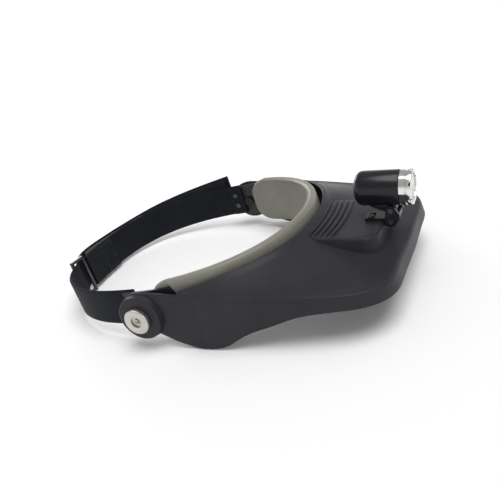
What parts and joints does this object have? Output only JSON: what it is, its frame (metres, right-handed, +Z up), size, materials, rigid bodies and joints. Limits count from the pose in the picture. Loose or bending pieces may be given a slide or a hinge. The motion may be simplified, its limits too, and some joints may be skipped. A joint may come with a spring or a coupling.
{
  "type": "head visor magnifier",
  "caption": "Padded headband with a tilting eye-shade hood, a magnifying lens that folds down under the hood's front, and a small tilting battery lamp on top",
  "frame": {"origin": "Middle of the bounding box on the table, which the hood's wings and the rear ring rest on.", "axes": "+X is forward, the way the wearer looks, +Y is the wearer's left, +Z is up."},
  "size_m": [0.2566, 0.1922, 0.073],
  "materials": {
    "hood_plastic": "satin",
    "band_plastic": "satin",
    "pad_vinyl": "satin",
    "pad_edge": "satin",
    "foam": "matte",
    "strap_web": "matte",
    "hook_tape": "matte",
    "plated_steel": "polished",
    "screw_steel": "satin",
    "dark_steel": "satin",
    "nylon": "satin",
    "lens_clear": "polished",
    "lamp_plastic": "satin",
    "board": "satin",
    "cells": "satin",
    "led_clear": "polished"
  },
  "bodies": {
    "headband": {"brow_band": "band_plastic", "brow_foam": "foam", "pad_lining": "pad_vinyl", "pad_cover": "pad_edge", "left_strap": "strap_web", "right_strap": "strap_web", "hook_patch": "hook_tape", "strap_ring": "dark_steel", "strap_rivets": "dark_steel", "right_pivot_screw": "screw_steel", "left_pivot_screw": "screw_steel", "right_friction_washer": "nylon", "left_friction_washer": "nylon"},
    "right_knob": {"right_knob": "plated_steel"},
    "left_knob": {"left_knob": "plated_steel"},
    "hood": {"hood_shell": "hood_plastic", "lens_hinge_pins": "screw_steel", "lamp_bracket": "hood_plastic", "bracket_screws": "screw_steel"},
    "lens_frame": {"lens_holder": "hood_plastic", "lens": "lens_clear"},
    "lamp_link": {"lamp_link": "hood_plastic", "lower_lamp_pin": "dark_steel", "upper_lamp_pin": "dark_steel"},
    "lamp": {"lamp_housing": "lamp_plastic", "battery_sleeve": "nylon", "contact_spring": "screw_steel", "button_cells": "cells", "led_board": "board", "led": "led_clear"},
    "lamp_head": {"lamp_bezel": "plated_steel", "reflector": "plated_steel", "lamp_window": "lens_clear"}
  },
  "joints": [
    {"name": "hood_tilt", "type": "hinge", "parent": "headband", "child": "hood", "pos_m": [-0.02338, 0, 0.02264], "axis": [0, 1, 0], "range_deg": [-65, 22]},
    {"name": "right_knob_turn", "type": "hinge", "parent": "headband", "child": "right_knob", "pos_m": [-0.02338, -0.0942, 0.02264], "axis": [0, -1, 0], "range_deg": [0, 360]},
    {"name": "left_knob_turn", "type": "hinge", "parent": "headband", "child": "left_knob", "pos_m": [-0.02338, 0.0942, 0.02264], "axis": [0, 1, 0], "range_deg": [0, 360]},
    {"name": "lens_fold", "type": "hinge", "parent": "hood", "child": "lens_frame", "pos_m": [0.1161, 0, 0.02467], "axis": [0, -1, 0], "range_deg": [0, 95]},
    {"name": "lamp_link_tilt", "type": "hinge", "parent": "hood", "child": "lamp_link", "pos_m": [0.11361, 0, 0.04253], "axis": [0, 1, 0], "range_deg": [-8, 60]},
    {"name": "lamp_tilt", "type": "hinge", "parent": "lamp_link", "child": "lamp", "pos_m": [0.11407, 0, 0.04972], "axis": [0, 1, 0], "range_deg": [-12, 40]},
    {"name": "bezel_twist", "type": "hinge", "parent": "lamp", "child": "lamp_head", "pos_m": [0.12335, 0, 0.06182], "axis": [0.9997, 0, -0.0227], "range_deg": [0, 90]}
  ]
}
